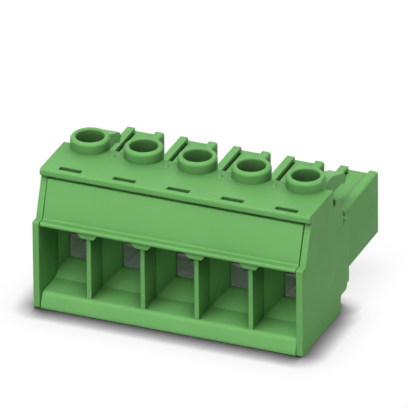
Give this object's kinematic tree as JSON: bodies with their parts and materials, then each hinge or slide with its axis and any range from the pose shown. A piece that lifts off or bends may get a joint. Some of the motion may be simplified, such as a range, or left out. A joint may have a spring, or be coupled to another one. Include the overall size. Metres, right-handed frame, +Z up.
{
  "type": "pluggable screw terminal block",
  "caption": "Cable-side plug of a board connector: a row of rising-cage screw clamps with wire funnels in front, driver collars on top and pin chambers behind.",
  "frame": {"origin": "middle of the overall box at the face it stands on", "axes": "+X along the row of poles, +Y towards the mating side, +Z up the screws"},
  "size_m": [0.0508, 0.0398, 0.0279],
  "materials": {
    "housing_plastic": "fine satin moulding",
    "frame_plastic": "fine satin moulding",
    "contact_metal": "tin plated",
    "spring_steel": "bright",
    "clamp_steel": "zinc plated",
    "screw_steel": "zinc plated"
  },
  "bodies": {
    "block": {"housing": "housing_plastic", "wire_entry_frame": "frame_plastic", "contact_1": "contact_metal", "contact_2": "contact_metal", "contact_3": "contact_metal", "contact_4": "contact_metal", "contact_5": "contact_metal", "contact_spring_1": "spring_steel", "contact_spring_2": "spring_steel", "contact_spring_3": "spring_steel", "contact_spring_4": "spring_steel", "contact_spring_5": "spring_steel"},
    "screw_1": {"clamp_screw_1": "screw_steel"},
    "sleeve_1": {"clamp_sleeve_1": "clamp_steel"},
    "screw_2": {"clamp_screw_2": "screw_steel"},
    "sleeve_2": {"clamp_sleeve_2": "clamp_steel"},
    "screw_3": {"clamp_screw_3": "screw_steel"},
    "sleeve_3": {"clamp_sleeve_3": "clamp_steel"},
    "screw_4": {"clamp_screw_4": "screw_steel"},
    "sleeve_4": {"clamp_sleeve_4": "clamp_steel"},
    "screw_5": {"clamp_screw_5": "screw_steel"},
    "sleeve_5": {"clamp_sleeve_5": "clamp_steel"}
  },
  "joints": [
    {"name": "screw_1_turn", "type": "hinge", "parent": "block", "child": "screw_1", "pos_m": [-0.02032, -0.00545, 0.015], "axis": [0, 0, -1], "range_deg": [-772, 1749]},
    {"name": "sleeve_1_rise", "type": "slide", "parent": "block", "child": "sleeve_1", "axis": [0, 0, 1], "range_m": [-0.0015, 0.0034]},
    {"name": "screw_2_turn", "type": "hinge", "parent": "block", "child": "screw_2", "pos_m": [-0.01016, -0.00545, 0.015], "axis": [0, 0, -1], "range_deg": [-772, 1749]},
    {"name": "sleeve_2_rise", "type": "slide", "parent": "block", "child": "sleeve_2", "axis": [0, 0, 1], "range_m": [-0.0015, 0.0034]},
    {"name": "screw_3_turn", "type": "hinge", "parent": "block", "child": "screw_3", "pos_m": [0, -0.00545, 0.015], "axis": [0, 0, -1], "range_deg": [-772, 1749]},
    {"name": "sleeve_3_rise", "type": "slide", "parent": "block", "child": "sleeve_3", "axis": [0, 0, 1], "range_m": [-0.0015, 0.0034]},
    {"name": "screw_4_turn", "type": "hinge", "parent": "block", "child": "screw_4", "pos_m": [0.01016, -0.00545, 0.015], "axis": [0, 0, -1], "range_deg": [-772, 1749]},
    {"name": "sleeve_4_rise", "type": "slide", "parent": "block", "child": "sleeve_4", "axis": [0, 0, 1], "range_m": [-0.0015, 0.0034]},
    {"name": "screw_5_turn", "type": "hinge", "parent": "block", "child": "screw_5", "pos_m": [0.02032, -0.00545, 0.015], "axis": [0, 0, -1], "range_deg": [-772, 1749]},
    {"name": "sleeve_5_rise", "type": "slide", "parent": "block", "child": "sleeve_5", "axis": [0, 0, 1], "range_m": [-0.0015, 0.0034]}
  ],
  "couplings": [
    {"joint": "screw_1_turn", "follows": "sleeve_1_rise", "rad_per_m": 8976},
    {"joint": "screw_2_turn", "follows": "sleeve_2_rise", "rad_per_m": 8976},
    {"joint": "screw_3_turn", "follows": "sleeve_3_rise", "rad_per_m": 8976},
    {"joint": "screw_4_turn", "follows": "sleeve_4_rise", "rad_per_m": 8976},
    {"joint": "screw_5_turn", "follows": "sleeve_5_rise", "rad_per_m": 8976}
  ]
}
